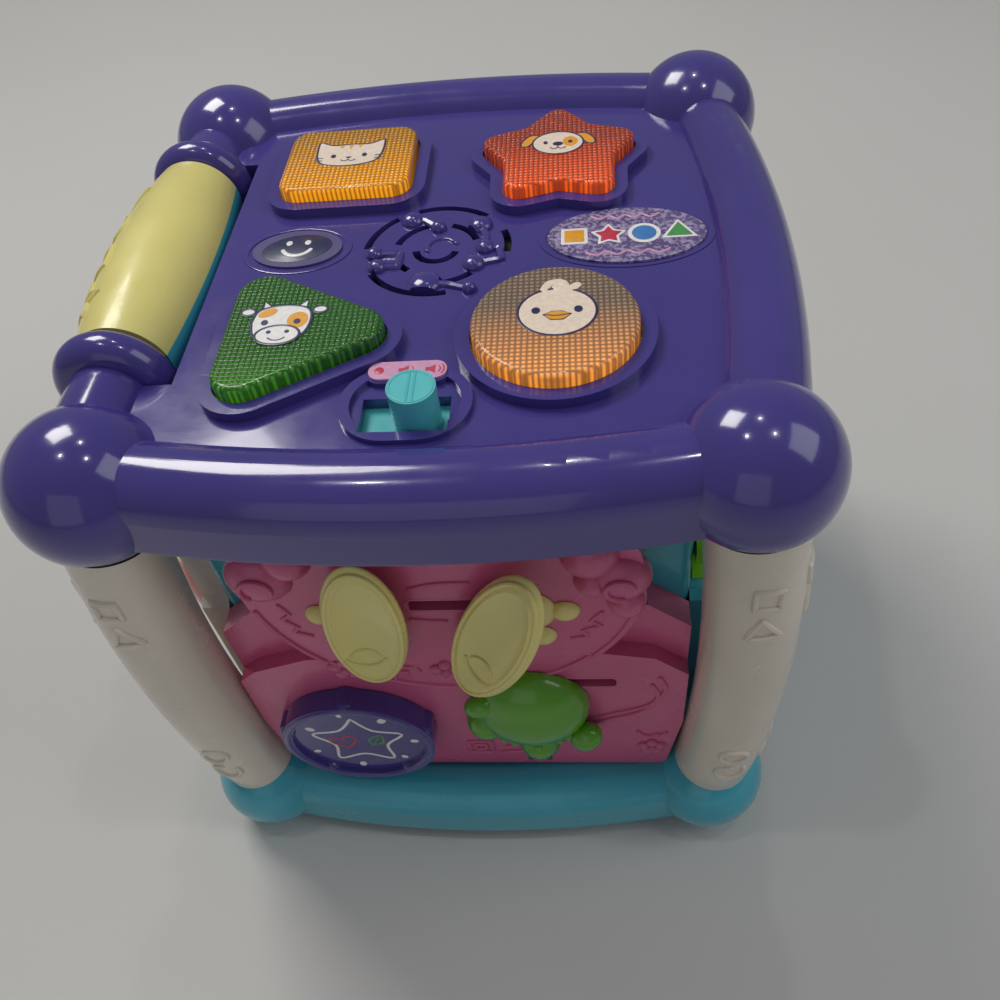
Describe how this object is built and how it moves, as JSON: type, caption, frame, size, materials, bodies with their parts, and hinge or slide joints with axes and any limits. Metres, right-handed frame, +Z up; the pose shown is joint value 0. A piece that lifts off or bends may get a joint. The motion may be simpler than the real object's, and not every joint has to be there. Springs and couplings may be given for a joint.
{
  "type": "toy activity cube",
  "caption": "Five-sided toy activity cube with shape-shaped light-up buttons, a roller, ball corners on round posts, a dial, fluttering wings, a sliding turtle, gears and a spinner.",
  "frame": {"origin": "middle of the footprint, on the surface that the four feet stand on", "axes": "+Z up through the light-up top, -Y out of the pink front with the dial and wings, -X out of the side that the roller is on"},
  "size_m": [0.158, 0.16, 0.16],
  "materials": {
    "purple_gloss": "glossy moulded plastic",
    "lilac_trim": "satin moulded plastic",
    "cream": "glossy moulded plastic",
    "pink": "satin moulded plastic",
    "teal": "satin moulded plastic",
    "yellow": "satin moulded plastic",
    "green": "glossy moulded plastic",
    "red": "glossy moulded plastic",
    "white": "satin moulded plastic",
    "charcoal": "matt moulded plastic",
    "lens_amber": "clear tinted plastic",
    "lens_red": "clear tinted plastic",
    "lens_green": "clear tinted plastic",
    "lens_clear": "clear smoky plastic",
    "label": "printed label",
    "lamp_white": "clear lamp",
    "board": "solder-masked board",
    "rubber_pad": "moulded silicone",
    "steel": "zinc plated",
    "cell_wrap": "printed sleeve",
    "speaker_black": "paper cone and steel frame",
    "foot_rubber": "moulded rubber"
  },
  "bodies": {
    "housing": {"top_shell": "purple_gloss", "top_trim": "lilac_trim", "name_plate": "label", "badge_plate": "label", "volume_label": "label", "switch_body": "charcoal", "circuit_board": "board", "key_pads": "rubber_pad", "lamps": "lamp_white", "speaker": "speaker_black", "motion_sensor": "charcoal", "housing_floor": "lilac_trim", "roller_axle": "steel", "post_front_left": "cream", "post_front_right": "cream", "post_rear_left": "cream", "post_rear_right": "cream", "base_shell": "teal", "foot_front_left": "foot_rubber", "foot_front_right": "foot_rubber", "foot_rear_left": "foot_rubber", "foot_rear_right": "foot_rubber", "base_cover": "teal", "battery_door": "teal", "door_screw": "steel", "cover_screws": "steel", "batteries": "cell_wrap", "battery_contacts": "steel", "core_frame": "white", "front_panel": "pink", "front_disc": "pink", "left_wing_hinge": "yellow", "right_panel": "teal", "gear_large_pin": "yellow", "gear_small_pin": "white", "left_panel": "white", "spinner_pin": "steel", "rear_panel": "green"},
    "roller": {"roller_outer": "yellow", "roller_inner": "teal"},
    "button_square": {"lens_square": "lens_amber"},
    "button_star": {"lens_star": "lens_red"},
    "button_circle": {"lens_circle": "lens_clear"},
    "button_triangle": {"lens_triangle": "lens_green"},
    "switch": {"switch_knob": "teal"},
    "dial": {"dial": "purple_gloss", "dial_shaft": "white"},
    "wing_carriage": {"right_wing_hinge": "yellow"},
    "right_wing": {"right_wing": "yellow"},
    "left_wing": {"left_wing": "yellow"},
    "turtle": {"turtle": "green", "turtle_guide": "white"},
    "spinner": {"spinner_drum": "red", "spinner_cone": "white", "spinner_cap": "lilac_trim"},
    "gear_large": {"gear_large": "green"},
    "gear_small": {"gear_small": "yellow"}
  },
  "joints": [
    {"name": "roller_spin", "type": "hinge", "parent": "housing", "child": "roller", "pos_m": [-0.0647, 0, 0.1468], "axis": [0, 1, 0], "continuous": true},
    {"name": "square_press", "type": "slide", "parent": "housing", "child": "button_square", "axis": [0, 0, -1], "range_m": [0, 0.0018], "stiffness_N_per_m": 500, "springref_m": -0.002},
    {"name": "star_press", "type": "slide", "parent": "housing", "child": "button_star", "axis": [0, 0, -1], "range_m": [0, 0.0018], "stiffness_N_per_m": 500, "springref_m": -0.002},
    {"name": "circle_press", "type": "slide", "parent": "housing", "child": "button_circle", "axis": [0, 0, -1], "range_m": [0, 0.0018], "stiffness_N_per_m": 500, "springref_m": -0.002},
    {"name": "triangle_press", "type": "slide", "parent": "housing", "child": "button_triangle", "axis": [0, 0, -1], "range_m": [0, 0.0018], "stiffness_N_per_m": 500, "springref_m": -0.002},
    {"name": "switch_slide", "type": "slide", "parent": "housing", "child": "switch", "axis": [1, 0, 0], "range_m": [-0.006, 0.0013]},
    {"name": "dial_spin", "type": "hinge", "parent": "housing", "child": "dial", "pos_m": [-0.029, -0.066, 0.049], "axis": [0, -1, 0], "continuous": true},
    {"name": "wing_slide", "type": "slide", "parent": "housing", "child": "wing_carriage", "axis": [1, 0, 0], "range_m": [-0.008, 0.003]},
    {"name": "right_wing_flap", "type": "hinge", "parent": "wing_carriage", "child": "right_wing", "pos_m": [0.0105, -0.0696, 0.106], "axis": [0.4067, 0, 0.9135], "range_deg": [-8, 39]},
    {"name": "left_wing_flap", "type": "hinge", "parent": "housing", "child": "left_wing", "pos_m": [-0.0105, -0.0696, 0.106], "axis": [0.0698, 0, 0.9976], "range_deg": [0, 46]},
    {"name": "turtle_slide", "type": "slide", "parent": "housing", "child": "turtle", "axis": [1, 0, 0], "range_m": [0, 0.016]},
    {"name": "spinner_spin", "type": "hinge", "parent": "housing", "child": "spinner", "pos_m": [-0.0605, -0.037, 0.08], "axis": [0, 0, 1], "continuous": true},
    {"name": "gear_large_spin", "type": "hinge", "parent": "housing", "child": "gear_large", "pos_m": [0.0583, -0.0285, 0.1045], "axis": [1, 0, 0], "continuous": true},
    {"name": "gear_small_spin", "type": "hinge", "parent": "housing", "child": "gear_small", "pos_m": [0.0583, 0.00008, 0.07592], "axis": [1, 0, 0], "continuous": true}
  ],
  "couplings": [
    {"joint": "gear_small_spin", "follows": "gear_large_spin", "ratio": -1.5}
  ]
}
